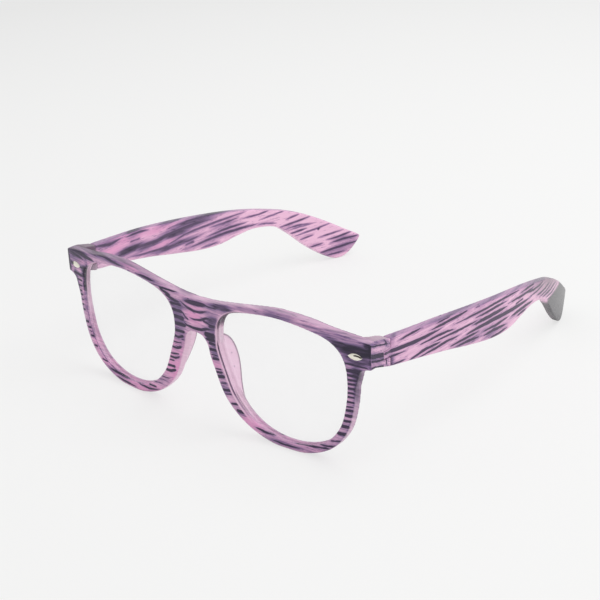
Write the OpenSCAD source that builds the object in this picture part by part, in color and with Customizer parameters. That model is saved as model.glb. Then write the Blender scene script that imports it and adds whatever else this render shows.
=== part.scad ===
// Open spectacles with rounded trapezoid rims, in millimetres.
// The front faces -Y, the arms run towards +Y and the table is z = 0.
// The origin lies on the table, in the middle of the width and of the depth.

/* [Front] */
// Width of the front over both end pieces
front_w = 143; // [132:1:154]
// Thickness of the front, from front face to rear face
front_t = 3.8; // [3.4:0.1:5]
// Radius of the curve of the front, seen from above
face_r = 425; // [320:5:800]
// Lean of the front towards the viewer, in degrees
front_lean = 1; // [0:0.5:3]
// Gap between the two lens openings
bridge_w = 20.4; // [17:0.2:24]
// Height of the bridge over the nose arch
bridge_h = 12.7; // [9:0.1:15]
// How far the top of the bridge lies below the brow
bridge_dip = 4.2; // [1:0.1:7]
// How far the crest of the brow lies outside the middle of the lens
brow_shift = 2.5; // [0:0.1:5]
// How far the top of the end piece lies below the brow
end_dip = 3.9; // [2:0.1:6]
// Height of the end piece
end_h = 9; // [8:0.1:11]
// Radius of the upright outer corner of the end piece
corner_r = 1; // [1:0.1:2]

/* [Rims] */
// Width of the lens opening
lens_w = 52.7; // [48:0.1:55]
// Height of the lens opening
lens_h = 45.3; // [40:0.1:48]
// Height of the rim under the lens
rim_bottom = 3.1; // [2.4:0.1:4.5]
// Width of the rim on the temple side
rim_side = 2.8; // [2.2:0.1:3.4]
// Width of the rim on the nose side
rim_nose = 5.5; // [4:0.1:7]
// Height of the brow over the lens
rim_top = 2.5; // [2:0.1:4]

/* [Lenses] */
// Thickness of a lens
lens_t = 1.8; // [1.2:0.1:2.2]
// Depth of the lens groove in the rim
groove = 0.7; // [0.4:0.1:1]
// Set back of the lens behind the front face
lens_set = 1; // [0.8:0.1:1.2]
// Gap around a lens in its groove
lens_gap = 0.08; // [0.04:0.01:0.15]

/* [Nose pads] */
// How far a nose pad stands out behind the front
pad_d = 5.8; // [3:0.1:7]
// Thickness of a nose pad along its ridge
pad_t = 2; // [1.6:0.1:2.6]
// Sideways flare of a nose pad from rim to ridge
pad_flare = 0.5; // [0:0.1:1.5]
// How far a nose pad stands out at its upper and lower end
pad_foot = 0.9; // [0.8:0.1:1.3]
// Depth inside the front at which a nose pad starts
pad_sink = 0.8; // [0.5:0.1:1]

/* [Hinges] */
// Distance of the hinge axis behind the front face
hinge_back = 13.8; // [12.5:0.1:17]
// Distance of the hinge axis inside the outer face
hinge_in = 2.5; // [2.4:0.1:2.8]
// Radius of the hinge knuckles
knuckle_r = 2.4; // [2.2:0.1:2.6]
// Height of the middle knuckle on the arm
tongue_h = 2.9; // [2.4:0.1:3.6]
// Gap between arm and front that lets the hinge turn
hinge_gap = 0.2; // [0.15:0.01:0.3]
// Drop of the end piece from the front to the hinge
stub_drop = 1.6; // [0.5:0.1:2.4]
// Radius of the inner corner between the front and the end piece
stub_fillet = 3; // [1:0.1:4]
// Radius of the shank of the hinge screw
screw_r = 0.7; // [0.5:0.05:0.9]
// Radius of the head of the hinge screw
screw_head_r = 1.3; // [1.1:0.05:1.6]
// Height of the head of the hinge screw
screw_head_h = 0.8; // [0.6:0.1:1]
// Width of the slot in the head of the hinge screw
screw_slot = 0.3; // [0.2:0.05:0.4]
// Depth of the slot in the head of the hinge screw
screw_slot_d = 0.3; // [0.2:0.05:0.4]
// Plastic over the upper end of the hinge screw
screw_cover = 1.2; // [0.8:0.1:2]
// Radial gap around the screw
screw_gap = 0.05; // [0.03:0.01:0.08]

/* [Arms] */
// Length of an arm behind the hinge, seen from above
arm_l = 144.4; // [132:1:155]
// Thickness of an arm
arm_t = 3.4; // [3:0.1:4.2]
// Height of an arm at the hinge
arm_h = 10; // [8.5:0.1:11]
// Outward bow of an arm
arm_bow = 2.6; // [0:0.1:4]
// Inward tuck of the arm tip
tip_tuck = 16.3; // [8:0.1:20]

/* [Studs] */
// Length of the oval stud on the end piece
stud_l = 5.4; // [4.5:0.1:7.5]
// Height of the oval stud
stud_h = 2.5; // [2:0.1:3.6]
// How far the stud lies outside the middle between lens opening and outer face
stud_out = 0.3; // [0:0.1:0.8]
// How far the stud lies below the middle of the end piece
stud_low = 0.6; // [0:0.1:1.5]
// How far the stud stands proud of the front
stud_proud = 0.5; // [0.3:0.1:0.8]
// Depth of the pocket that holds the stud
stud_pocket = 0.6; // [0.4:0.1:1]
// Radius of the peg behind the stud
stud_peg_r = 0.8; // [0.5:0.1:1]
// Length of the peg behind the stud
stud_peg_l = 1; // [0.6:0.1:1.4]
// Gap around the stud in its pocket
stud_gap = 0.05; // [0.03:0.01:0.1]

/* [Hidden] */

// Depth of the small flats on which the rims and the arm tips rest
rest_flat = 0.15;
// Points drawn in each stretch of a smooth outline, and along an arm
steps = 5;
arm_steps = 24;
// Facets of the face curve and of the small round parts
face_fn = 720;
round_fn = 64;
// Reach of a cutting tool past what it cuts
over = 20;

// Lens opening as shares of its half width and half height,
// counter-clockwise from the temple side, on the wearer's left
LENS_SHAPE = [
    [1, 0.25], [0.945, 0.62], [0.77, 0.84], [0.46, 0.945], [0, 1],
    [-0.47, 0.955], [-0.79, 0.85], [-0.96, 0.645], [-0.995, 0.3],
    [-0.88, -0.13], [-0.72, -0.54], [-0.44, -0.85], [-0.09, -1],
    [0.3, -0.995], [0.64, -0.84], [0.865, -0.54], [0.965, -0.17]
];
// Places on the lens outline, counted in points of that list: where the free
// edge of the rim starts at the arch and ends at the end piece, and where the
// nose pad starts and ends
RIM_FROM = 8.4;
RIM_TO = 16.8;
PAD_FROM = 7.8;
PAD_TO = 10.4;

// Rings of points along a nose pad, and the ledge of rim beside its foot on
// the lens side and on the nose side
PAD_RINGS = 10;
PAD_LEDGE = [0.3, 0.7];
// Power that puts the fullest part of the pad a third of the way down
PAD_SKEW = 0.58;

// Brow line as shares of the way from the end piece to the crest, and from the
// middle of the bridge to the crest, each with its share of the rise
BROW_OUTER = [[0, 0], [0.185, 0.23], [0.476, 0.513], [0.72, 0.846]];
BROW_INNER = [[1, 1], [0.82, 0.93], [0.418, 0.38], [0.209, 0.12], [0, 0]];
// Nose arch and underside of the end piece, as shares of their width and height
ARCH = [[0, 0], [0.5, 0.08], [0.86, 0.45], [1, 1]];
UNDER_END = [[0, 0], [0.155, 0.42], [0.36, 0.845], [0.86, 1]];

// Upper and lower edge of an arm, as shares of its length and of the
// height of its hinge end over the table
ARM_TOP = [
    [0, 1], [0.1, 0.976], [0.21, 0.944], [0.4, 0.864], [0.58, 0.771],
    [0.72, 0.66], [0.8, 0.567], [0.88, 0.435], [0.955, 0.29]
];
ARM_TIP = [[0.99, 0.224], [1, 0.188], [0.987, 0.12], [0.96, 0.034]];
ARM_BOTTOM = [
    [0.925, 0], [0.885, 0.05], [0.82, 0.2], [0.755, 0.385], [0.7, 0.505],
    [0.625, 0.552], [0.56, 0.54], [0.49, 0.513], [0.41, 0.53],
    [0.3, 0.6], [0.2, 0.672], [0.1, 0.73]
];

// Depth of the face curve behind the middle of the front, at x
function face_y(x) = face_r - sqrt(face_r ^ 2 - x ^ 2);

lens_x = (bridge_w + lens_w) / 2;
lens_z = rim_bottom + lens_h / 2;
brow_z = rim_bottom + lens_h + rim_top;
crest_x = lens_x + brow_shift;
bridge_z = brow_z - bridge_dip;
end_z = brow_z - end_dip;
end_x = front_w / 2;
hinge_x = end_x - hinge_in;
hinge_top = end_z - stub_drop;
hinge_bottom = hinge_top - arm_h;
tongue_z = hinge_bottom + (arm_h - tongue_h) / 2;
arm_y = hinge_back + knuckle_r + hinge_gap;
// Rear of the front at the end piece, and the bottom of the end piece there
stub_y = face_y(end_x) + front_t;
stub_z = end_z - end_h;
// Where the underside of the end piece starts to slope down to the arm
slope_y = stub_y - front_t / 2;
// Underside of the knuckles at the near side of the screw head
screw_z = stub_z + (hinge_bottom - stub_z)
    * (hinge_back - screw_head_r - slope_y) / (arm_y - slope_y);
screw_l = hinge_top - screw_z - screw_cover;
// Reach of the leaning bridge in front of the rims, and the whole depth
reach_front = bridge_z * sin(front_lean);
depth = arm_y + arm_l;

function mirrored(points) =
    [for (i = [len(points) - 1:-1:0]) [-points[i][0], points[i][1]]];

// One smooth stretch from b to c, with a and d as its neighbours
function stretch(a, b, c, d) = [
    for (i = [0:steps - 1]) let (t = i / steps)
        (2 * b + (c - a) * t + (2 * a - 5 * b + 4 * c - d) * t ^ 2
            + (3 * b - 3 * c + d - a) * t ^ 3) / 2
];
function smooth_loop(p) = let (n = len(p)) [
    for (i = [0:n - 1])
        each stretch(p[(i + n - 1) % n], p[i], p[(i + 1) % n], p[(i + 2) % n])
];
function smooth_line(p) = let (n = len(p)) [
    for (i = [0:n - 2])
        each stretch(p[max(i - 1, 0)], p[i], p[i + 1], p[min(i + 2, n - 1)]),
    p[n - 1]
];

// Outward direction of a counter-clockwise loop at point i
function normal(p, i) =
    let (n = len(p), d = p[(i + 1) % n] - p[(i + n - 1) % n])
    [d[1], -d[0]] / norm(d);
function grown(p, by) = [for (i = [0:len(p) - 1]) p[i] + by * normal(p, i)];

function lens_outline() = smooth_loop([
    for (s = LENS_SHAPE)
        [lens_x + s[0] * lens_w / 2, lens_z + s[1] * lens_h / 2]
]);

// Outer side of the lens opening at height z
function opening_x(z) = let (p = lens_outline(), n = len(p)) max([
    for (i = [0:n - 1]) let (a = p[i], b = p[(i + 1) % n])
        if ((a[1] - z) * (b[1] - z) < 0)
            a[0] + (b[0] - a[0]) * (z - a[1]) / (b[1] - a[1])
]);

// Width of the rim in the outward direction d
function rim_width(d) =
    (d[0] > 0 ? rim_side : rim_nose) * d[0] ^ 2 + rim_bottom * d[1] ^ 2;

// Outer edge of the rim from the arch, round the bottom, to the end piece
function rim_edge() = let (p = lens_outline()) [
    for (i = [round(RIM_FROM * steps):round(RIM_TO * steps)])
        p[i] + rim_width(normal(p, i)) * normal(p, i)
];

// Smooth line from a to b through points given as shares of the way
function between(a, b, shares) = smooth_line([
    for (s = shares) [a[0] + (b[0] - a[0]) * s[0], a[1] + (b[1] - a[1]) * s[1]]
]);

// Underside of the bridge, from the middle to the rim
function arch(rim) = between([0, bridge_z - bridge_h], rim, ARCH);

// Brow line from the end piece to the middle of the bridge
function brow() = let (crest = [crest_x, brow_z], end = [end_x, end_z], middle = [0, bridge_z])
    smooth_line(concat(
        [for (s = BROW_OUTER) [for (k = [0, 1]) end[k] + (crest[k] - end[k]) * s[k]]],
        [for (s = BROW_INNER) [for (k = [0, 1]) middle[k] + (crest[k] - middle[k]) * s[k]]]
    ));

// Front view of one half of the front, from the arch round to the bridge
function half_front() = let (rim = rim_edge(), last = rim[len(rim) - 1])
    concat(
        [for (p = arch(rim[0])) if (p[0] < rim[0][0]) p],
        rim,
        [for (p = between(last, [end_x, stub_z], UNDER_END)) if (p[1] > last[1]) p],
        [[end_x, stub_z]],
        brow()
    );

// Sideways place of the outer face of an arm at a share s of its length.
// The factor 6 lets the arm reach its full bow a third of the way back.
function arm_x(s) =
    end_x + 6 * arm_bow * s * (1 - s) * (1 - s / 5) - tip_tuck * s ^ 3;

// Plan of an arm
function arm_plan() = let (
    outer = [
        for (k = [0:arm_steps]) let (s = k / arm_steps) [arm_x(s), arm_y + arm_l * s]
    ]
) concat(outer, [for (k = [arm_steps:-1:0]) outer[k] - [arm_t, 0]]);

// Side view of an arm in the y-z plane
function arm_side() = let (
    at = function (p) [arm_y + p[0] * arm_l, p[1] * hinge_top],
    low = [arm_y, hinge_bottom]
) concat(
    smooth_line([for (p = concat(ARM_TOP, ARM_TIP, ARM_BOTTOM)) at(p)]),
    [low]
);

// Puts parts that are drawn from the front face into the shared frame
module placed() {
    translate([0, (reach_front - depth) / 2, 0]) children();
}

module leaned() {
    translate([0, 0, -rest_flat]) rotate([front_lean, 0, 0]) children();
}

// Copies a part of the wearer's left side to the right side
module on_side(side) {
    mirror([side == "left" ? 0 : 1, 0, 0]) children();
}

module both_sides() {
    children();
    mirror([1, 0, 0]) children();
}

// Extrudes a front view through the whole depth of the front
module through_front(points) {
    translate([0, over, 0]) rotate([90, 0, 0])
        linear_extrude(height = 2 * over) polygon(points);
}

// A layer that follows the face curve, from one depth to another
module face_layer(from, to) {
    translate([0, face_r, -over])
        difference() {
            cylinder(r = face_r - from, h = brow_z + 2 * over, $fn = face_fn);
            translate([0, 0, -over])
                cylinder(r = face_r - to, h = brow_z + 4 * over, $fn = face_fn);
        }
}

// Places a part on the front face, square to the face curve
module on_face(x, z) {
    translate([0, face_r, z]) rotate([0, 0, asin(x / face_r)])
        translate([0, -face_r, 0]) children();
}

module front_plate() {
    half = half_front();
    intersection() {
        through_front(concat(half, mirrored(half)));
        face_layer(0, front_t);
    }
}

module lens_blank(extra) {
    intersection() {
        through_front(grown(lens_outline(), groove - extra));
        face_layer(lens_set + extra, lens_set + lens_t - extra);
    }
}

module lens_openings() {
    both_sides() through_front(lens_outline());
    both_sides() lens_blank(0);
}

// Plan of the end piece behind the front, with the round hinge end
module stub_plan() {
    inner = hinge_x - knuckle_r;
    corner_x = inner - stub_fillet;
    corner_y = face_y(corner_x) + front_t;
    front_y = stub_y - front_t / 2;
    translate([inner, front_y])
        square([end_x - inner, hinge_back - front_y]);
    translate([hinge_x, front_y])
        square([end_x - hinge_x, hinge_back + knuckle_r - front_y]);
    translate([hinge_x, hinge_back]) circle(r = knuckle_r, $fn = round_fn);
    difference() {
        translate([corner_x, corner_y - front_t / 2])
            square([knuckle_r + stub_fillet, front_t / 2 + stub_fillet]);
        translate([corner_x, corner_y + stub_fillet])
            circle(r = stub_fillet, $fn = round_fn);
    }
}

module stub() {
    intersection() {
        linear_extrude(height = brow_z) stub_plan();
        translate([end_x - over, 0, 0]) rotate([90, 0, 90])
            linear_extrude(height = 2 * over)
                polygon([
                    [0, end_z], [0, stub_z], [slope_y, stub_z],
                    [arm_y, hinge_bottom], [arm_y, hinge_top],
                    [stub_y, end_z]
                ]);
    }
}

// Room for the middle knuckle and its swing
module tongue_room() {
    room_r = knuckle_r + hinge_gap;
    translate([0, 0, tongue_z - hinge_gap]) {
        translate([hinge_x, hinge_back, 0])
            cylinder(r = room_r, h = tongue_h + 2 * hinge_gap, $fn = round_fn);
        translate([hinge_x - over, hinge_back - room_r, 0])
            cube([over, 2 * room_r, tongue_h + 2 * hinge_gap]);
        translate([hinge_x - over, hinge_back, 0])
            cube([2 * over, over, tongue_h + 2 * hinge_gap]);
    }
}

module screw_room() {
    translate([hinge_x, hinge_back, screw_z - over])
        cylinder(r = screw_head_r + screw_gap, h = over + screw_head_h + screw_gap,
            $fn = round_fn);
    translate([hinge_x, hinge_back, screw_z])
        cylinder(r = screw_r + screw_gap, h = screw_l + screw_gap, $fn = round_fn);
}

// Rounds the upright outer corner, with an arc that meets the face curve and
// the outer face without a step
module corner_tool() {
    x = end_x - corner_r;
    y = face_r - sqrt((face_r - corner_r) ^ 2 - x ^ 2);
    meet_x = x * corner_r / (face_r - corner_r);
    translate([x, y, -over])
        linear_extrude(height = brow_z + 2 * over)
            difference() {
                translate([meet_x, -over]) square([over, over]);
                circle(r = corner_r, $fn = round_fn);
            }
}

// Oval outline of the stud: two arcs that meet in points
module stud_outline(grow) {
    half_l = stud_l / 2 + grow;
    half_h = stud_h / 2 + grow;
    arc_r = (half_l ^ 2 + half_h ^ 2) / (2 * half_h);
    intersection() {
        translate([0, half_h - arc_r]) circle(r = arc_r, $fn = 4 * round_fn);
        translate([0, arc_r - half_h]) circle(r = arc_r, $fn = 4 * round_fn);
    }
}

// Stud with its outer face at the front and its peg behind
module stud_solid(grow) {
    rotate([90, 0, 0]) {
        translate([0, 0, -stud_pocket - grow])
            linear_extrude(height = stud_pocket + stud_proud + grow)
                stud_outline(grow);
        translate([0, 0, -stud_pocket - stud_peg_l - grow])
            cylinder(r = stud_peg_r + grow, h = stud_peg_l + stud_pocket, $fn = round_fn);
    }
}

// Puts the stud on the end piece, between the lens opening and the outer face
module stud_place() {
    stud_z = end_z - end_h / 2 - stud_low;
    on_face((opening_x(stud_z) + end_x) / 2 + stud_out, stud_z) children();
}

// One ring of a nose pad: from the rim out to its rounded ridge and back
function pad_ring(point, d, swell) = let (
    w = rim_width(d),
    middle = point + d * (w + PAD_LEDGE[0] - PAD_LEDGE[1]) / 2,
    half = (w - PAD_LEDGE[0] - PAD_LEDGE[1]) / 2,
    tip = min(pad_t / 2, half),
    low = face_y(middle[0]) + front_t - pad_sink,
    rise = pad_foot + pad_d * swell,
    profile = [[half, 0], [(half + tip) / 2, 0.5], [tip, 0.88], [tip / 2, 1]],
    at = function (side, share)
        let (q = middle + d * (side - pad_flare * swell * share))
        [q[0], low + rise * share, q[1]]
) concat(
    [for (c = profile) at(c[0], c[1])],
    [for (k = [len(profile) - 1:-1:0]) at(-profile[k][0], profile[k][1])]
);

// Nose pad along the nose side of the rim, thin at both ends
module pad() {
    p = lens_outline();
    rings = [
        for (k = [0:PAD_RINGS]) let (
            share = k / PAD_RINGS,
            i = round((PAD_FROM + (PAD_TO - PAD_FROM) * share) * steps)
        ) pad_ring(p[i], normal(p, i), sin(180 * share ^ PAD_SKEW))
    ];
    n = len(rings[0]);
    sides = [
        for (k = [0:PAD_RINGS - 1]) for (j = [0:n - 1])
            let (a = k * n + j, b = k * n + (j + 1) % n)
            each [[a, a + n, b], [b, a + n, b + n]]
    ];
    polyhedron([for (r = rings) each r], concat(
        [[for (j = [0:n - 1]) j]], sides,
        [[for (j = [n - 1:-1:0]) PAD_RINGS * n + j]]
    ));
}

// Cuts what would reach below the table
module floor_tool() {
    translate([-front_w, -over, -over]) cube([2 * front_w, 2 * depth, over]);
}

module front_frame() color([0.79, 0.62, 0.76]) placed() difference() {
    union() {
        leaned() difference() {
            union() {
                front_plate();
                both_sides() pad();
            }
            lens_openings();
            both_sides() corner_tool();
            both_sides() stud_place() stud_solid(stud_gap);
        }
        both_sides() stub();
    }
    both_sides() tongue_room();
    both_sides() screw_room();
    floor_tool();
}

module lens(side) color([0.93, 0.95, 0.96, 0.4]) placed() on_side(side)
    leaned() lens_blank(lens_gap);

module lens_left() { lens("left"); }
module lens_right() { lens("right"); }

module temple(side) color([0.82, 0.63, 0.78]) placed() on_side(side) difference() {
    union() {
        intersection() {
            rotate([90, 0, 90])
                linear_extrude(height = front_w) polygon(arm_side());
            linear_extrude(height = brow_z)
                polygon(arm_plan());
        }
        translate([hinge_x, hinge_back, tongue_z]) {
            cylinder(r = knuckle_r, h = tongue_h, $fn = round_fn);
            translate([hinge_in - arm_t, 0, 0])
                cube([arm_t - hinge_gap, knuckle_r + 2 * hinge_gap, tongue_h]);
        }
    }
    translate([hinge_x, hinge_back, hinge_bottom])
        cylinder(r = screw_r + screw_gap, h = arm_h, $fn = round_fn);
    floor_tool();
}

module temple_left() { temple("left"); }
module temple_right() { temple("right"); }

module hinge_screw(side) color([0.75, 0.74, 0.72]) placed() on_side(side)
    translate([hinge_x, hinge_back, screw_z]) difference() {
        union() {
            cylinder(r = screw_head_r, h = screw_head_h, $fn = round_fn);
            cylinder(r = screw_r, h = screw_l, $fn = round_fn);
        }
        translate([-over / 2, -screw_slot / 2, screw_slot_d - over])
            cube([over, screw_slot, over]);
    }

module hinge_screw_left() { hinge_screw("left"); }
module hinge_screw_right() { hinge_screw("right"); }

module stud(side) color([0.8, 0.77, 0.72]) placed() on_side(side)
    leaned() stud_place() stud_solid(0);

module stud_left() { stud("left"); }
module stud_right() { stud("right"); }

front_frame();
lens_left();
lens_right();
temple_left();
temple_right();
hinge_screw_left();
hinge_screw_right();
stud_left();
stud_right();
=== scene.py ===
"""The looks of the spectacles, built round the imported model, in millimetres until a mesh is made."""
import math

import bmesh
import bpy
import numpy as np
from mathutils import Matrix, Vector


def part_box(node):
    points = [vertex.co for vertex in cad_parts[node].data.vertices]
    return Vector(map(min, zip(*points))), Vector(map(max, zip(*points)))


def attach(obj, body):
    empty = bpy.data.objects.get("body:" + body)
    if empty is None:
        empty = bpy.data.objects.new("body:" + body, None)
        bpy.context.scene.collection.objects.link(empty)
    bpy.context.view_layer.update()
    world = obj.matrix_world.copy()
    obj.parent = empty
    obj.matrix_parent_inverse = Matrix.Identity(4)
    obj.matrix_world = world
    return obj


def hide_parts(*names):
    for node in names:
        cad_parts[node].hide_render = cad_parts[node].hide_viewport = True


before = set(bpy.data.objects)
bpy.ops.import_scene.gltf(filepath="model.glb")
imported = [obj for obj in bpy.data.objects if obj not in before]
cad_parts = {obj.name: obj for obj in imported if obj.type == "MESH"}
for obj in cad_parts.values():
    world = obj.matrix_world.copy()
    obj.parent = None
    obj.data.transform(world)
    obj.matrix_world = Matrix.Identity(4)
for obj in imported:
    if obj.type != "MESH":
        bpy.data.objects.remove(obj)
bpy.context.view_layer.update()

MM = 0.001

# Driving sizes of the construction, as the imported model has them
FRONT_T = 3.8
FACE_R = 425.0
LEAN = math.radians(1)
REST_FLAT = 0.15
BRIDGE_W, BRIDGE_H, BRIDGE_DIP = 20.4, 12.7, 4.2
BROW_SHIFT = 2.5
END_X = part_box("front_frame")[1].x / MM
END_DIP, END_H = 3.9, 9.0
LENS_W, LENS_H = 52.7, 45.3
RIM_BOTTOM, RIM_SIDE, RIM_NOSE, RIM_TOP = 3.1, 2.8, 5.5, 2.5
LENS_T, LENS_SET, GROOVE, GROOVE_GAP = 1.8, 1.0, 0.7, 0.1
PAD_D, PAD_T, PAD_FLARE, PAD_FOOT, PAD_SINK, PAD_ROOT, PAD_FALL = 5.8, 2.0, 0.5, 0.9, 0.8, 1.5, 3
HINGE_BACK, HINGE_IN, KNUCKLE_R, TONGUE_H, NECK_PAST = 13.8, 2.5, 2.4, 2.9, 1
HINGE_GAP, STUB_DROP, STUB_FILLET = 0.2, 1.6, 3.0
SCREW_HEAD_R, SCREW_HEAD_H, SCREW_HEAD_GAP, SCREW_ROOM, SCREW_ROOF = 1.3, 0.8, 0.1, 0.95, 1.1
ARM_L, ARM_T, ARM_H, ARM_BOW, TIP_TUCK = 144.4, 3.4, 10.0, 2.6, 16.3
STUD_L, STUD_H, STUD_PROUD, STUD_DEEP, STUD_PEG_R, STUD_PEG_L = 5.4, 2.5, 0.5, 0.6, 0.8, 1.0
STUD_GAP, STUD_RIM, STUD_TOP, STUD_DOME = 0.03, 0.1, 0.48, 0.62

# Shapes as shares of their width and height, as in the construction
LENS_SHAPE = [
    (1, 0.25), (0.945, 0.62), (0.77, 0.84), (0.46, 0.945), (0, 1),
    (-0.47, 0.955), (-0.79, 0.85), (-0.96, 0.645), (-0.995, 0.3),
    (-0.88, -0.13), (-0.72, -0.54), (-0.44, -0.85), (-0.09, -1),
    (0.3, -0.995), (0.64, -0.84), (0.865, -0.54), (0.965, -0.17),
]
RIM_FROM, RIM_TO = 8.4, 16.8
PAD_FROM, PAD_TO, PAD_SKEW, PAD_LEDGE = 7.8, 10.4, 0.58, (0.3, 0.7)
BROW_OUTER = [(0, 0), (0.185, 0.23), (0.476, 0.513), (0.72, 0.846)]
BROW_INNER = [(1, 1), (0.82, 0.93), (0.418, 0.38), (0.209, 0.12), (0, 0)]
ARCH = [(0, 0), (0.5, 0.08), (0.86, 0.45), (1, 1)]
UNDER_END = [(0, 0), (0.155, 0.42), (0.36, 0.845), (0.86, 1)]
ARM_TOP = [
    (0, 1), (0.1, 0.976), (0.21, 0.944), (0.4, 0.864), (0.58, 0.771),
    (0.72, 0.66), (0.8, 0.567), (0.88, 0.435), (0.955, 0.29),
]
ARM_TIP = [(0.99, 0.224), (1, 0.188), (0.987, 0.12), (0.96, 0.034)]
ARM_BOTTOM = [
    (0.925, 0), (0.885, 0.05), (0.82, 0.2), (0.755, 0.385), (0.7, 0.505),
    (0.625, 0.552), (0.56, 0.54), (0.49, 0.513), (0.41, 0.53),
    (0.3, 0.6), (0.2, 0.672), (0.1, 0.73),
]

# Places that follow from the sizes
LENS_X = (BRIDGE_W + LENS_W) / 2
LENS_Z = RIM_BOTTOM + LENS_H / 2
BROW_Z = RIM_BOTTOM + LENS_H + RIM_TOP
BRIDGE_Z = BROW_Z - BRIDGE_DIP
END_Z = BROW_Z - END_DIP
CREST_X = LENS_X + BROW_SHIFT
HINGE_X = END_X - HINGE_IN
HINGE_TOP = END_Z - STUB_DROP
HINGE_BOTTOM = HINGE_TOP - ARM_H
TONGUE_Z = HINGE_BOTTOM + ARM_H / 2
ARM_Y = HINGE_BACK + KNUCKLE_R + HINGE_GAP
STUB_Z = END_Z - END_H
SHIFT_Y = (BRIDGE_Z * math.sin(LEAN) - ARM_Y - ARM_L) / 2

# Edge radii of the modelled shells
EDGE_R, END_EDGE_R, LOW_EDGE_R, REAR_EDGE_R, LENS_EDGE_R = 0.75, 0.4, 1.35, 0.4, 0.4
ARM_EDGE_R, TIP_EDGE_R, JOINT_EDGE_R, ROOM_EDGE_R, TONGUE_EDGE_R = 0.55, 0.7, 0.3, 0.12, 0.15
PAD_EDGE_R, PAD_BLEND = 0.85, 1.4

# Grids in which the shells are found: their steps, their margins and how deep and wide they reach
STEP, ARM_STEP = (0.42, 0.34, 0.32), (0.34, 0.5, 0.32)
MARGIN, MARGIN_LOW, MARGIN_TOP = 0.9, 0.6, 1.2
GRID_DEEP, ARM_GRID_IN, ARM_GRID_OUT = 12.6, 5.8, 0.7

# Height of the flat cut over the table, steps of a smooth line's stretch, and how a skin is evened out
FLOOR_CUT, SPLINE_STEPS = 0.05, 10
EVEN_ROUNDS, EVEN_SHARES = 2, (0.5, -0.52)

# The camera as fitted to the photo, with its turns in radians and its places as the front is built
CAM_AZIMUTH, CAM_ELEVATION, CAM_ROLL = 0.70487, 0.41032, -0.02671308
CAM_TARGET, CAM_DISTANCE, CAM_LENS, CAM_SENSOR = Vector((-9.459, 67.074, 20)), 520.479, 80.06, 36
CAM_TURN = Matrix.Rotation(CAM_AZIMUTH, 4, "Z") @ Matrix.Rotation(math.pi / 2 - CAM_ELEVATION, 4, "X")
EYE = CAM_TARGET + CAM_TURN.col[2].xyz * CAM_DISTANCE

# Floor and light: half the floor's side in millimetres, places in metres, and how the floor's glow falls off
FLOOR_HALF, PAPER, PAPER_GLOW = 3000, (0.9, 0.9, 0.895, 1), (1, 1, 0.997, 1)
WORLD_LIGHT, LAMP_POWER, LAMP_SIZE, LAMP_PLACE = 0.77, 4.2, 0.9, (0.35, 0.3, 1)
GLOW_MIDDLE, GLOW_TOP, GLOW_FALL, GLOW_LEAST, GLOW_SHARE = (0.25, 0.24, 0), 0.945, 0.175, 0.8, 0.72

# Streaks: the longest short one, how sharply both kinds taper, and what all gain in half width
SHORT_STREAK, SHORT_TAPER, LONG_TAPER, STREAK_MORE = 7, 9, 2.8, 0.14
NO_STREAK, PATCH_CORE = -3.0, 1.35

# Tones of places without a patch, from 0 for the palest ground to 1 for the darkest streak; the bevel tone
# is the tone of a painted highlight
FACE_TONE, EDGE_TONE, BEVEL_HIGHLIGHT_TONE, NOSE_TONE, BRIDGE_TONE = 0.14, 0.22, 0.12, 0.1, 0.7
SIDE_TONE, PALE_TONE, OUTER_TONE, FAR_NOSE_TONE, BEHIND_TONE = 0.1, 0.075, 0.2, 0.13, 0.2
STUB_TONE, STUB_TOP_TONE, STUB_LINE_TONE, PAD_TONE, CREST_TONE = 0.13, 0.28, 0.3, 0.1, 0.42
ARM_TONE, ARM_EDGE_TONE, ARM_RIDGE_TONE = 0.05, 0.12, 0.2

# Streaks as a half width and the points along it. They are laid on the faces as seen from EYE, so that they
# run on over the edges and walls that show from there.

# On the front seen from ahead, in x and z: the bridge
BRIDGE_STREAKS = [
    (0.9, (-4.8, 45.1), (0, 45.3), (4, 45.6), (7, 46)), (0.3, (5.4, 45.8), (8.4, 45.6), (11, 45.8)),
    (0.45, (-7, 44.8), (-3.4, 43), (0, 42.2), (3, 42.5), (7.5, 44)),
    (0.38, (-2.9, 39.2), (0, 39), (3, 39.6), (6, 41), (10.5, 41.2)),
    (0.3, (-5.8, 40.6), (-4.4, 39), (-2.7, 38)),
    (0.5, (-5.8, 37.2), (-4, 35.9), (-1, 35.6), (3, 35.9), (6, 37), (10, 37.4)),
    (0.35, (4, 39.7), (7, 39.1), (9.8, 38.2)), (0.45, (6.5, 38.2), (9.6, 38.6)),
]
# The bars across the rim beside the nose, on the wearer's left
NOSE_BARS = [
    (0.95, (4.4, 34.8), (9.8, 35.1)), (0.55, (5, 33.1), (9.8, 33.3)), (0.4, (6, 31.7), (10, 32)),
    (0.5, (6.2, 29.5), (10.6, 29.9)), (0.18, (7, 27.6), (10.6, 28)), (0.4, (7.4, 26.2), (11, 26.7)),
    (0.15, (8.4, 22.5), (11.6, 23.1)), (0.35, (8.6, 21.3), (12.1, 22)), (0.55, (9.2, 19.8), (13, 20.6)),
    (0.2, (10.4, 17.5), (13.7, 18.3)), (0.5, (11.2, 15.2), (15.6, 16)), (0.16, (12.4, 13.9), (15.9, 14.5)),
    (0.36, (14.8, 10.8), (19.2, 11.5)), (0.6, (17.2, 8.8), (22.2, 8.9)),
]
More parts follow.
